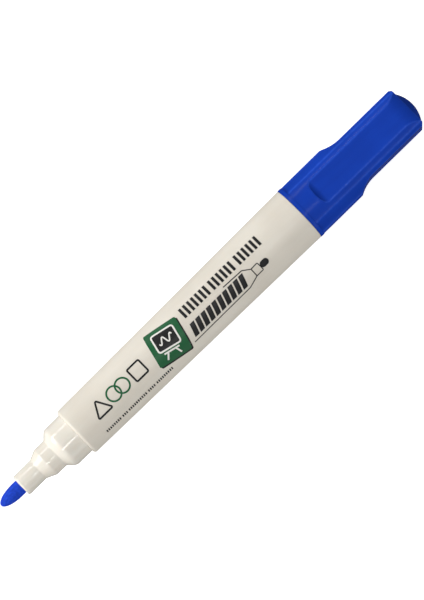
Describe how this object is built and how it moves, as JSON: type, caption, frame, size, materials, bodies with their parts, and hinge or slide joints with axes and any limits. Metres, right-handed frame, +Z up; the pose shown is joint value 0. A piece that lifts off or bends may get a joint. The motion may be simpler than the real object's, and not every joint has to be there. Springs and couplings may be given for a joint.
{
  "type": "whiteboard marker",
  "caption": "Whiteboard marker with a bullet felt nib, stepped neck, tapered white barrel and a blue cap posted on its tail, with flat panels and scooped sides.",
  "frame": {"origin": "on the ground under the middle of the marker, which lies on its side with the cap posted on the tail", "axes": "+X from the nib to the cap's closed end, +Z up and square to the cap's front panel, +Y to the left seen from the nib"},
  "size_m": [0.1576, 0.0174, 0.0174],
  "materials": {
    "barrel_white": "satin moulded polypropylene, slightly pearly",
    "neck_white": "glossy moulded polypropylene",
    "nib_felt": "bonded fibre soaked with ink",
    "reservoir_fibre": "bundled polyester fibre soaked with ink",
    "clear_film": "thin clear film",
    "plug_blue": "moulded polypropylene",
    "cap_blue": "glossy moulded polypropylene",
    "liner_natural": "soft natural polyethylene",
    "print_black": "printed ink film",
    "print_green": "printed ink film"
  },
  "bodies": {
    "pen": {"barrel": "barrel_white", "front_section": "neck_white", "nib": "nib_felt", "ink_reservoir": "reservoir_fibre", "reservoir_film": "clear_film", "tail_plug": "plug_blue"},
    "cap": {"cap_shell": "cap_blue", "cap_liner": "liner_natural"}
  },
  "joints": [
    {"name": "cap_slide", "type": "slide", "parent": "pen", "child": "cap", "axis": [1, 0, 0], "range_m": [0, 0.03]}
  ]
}
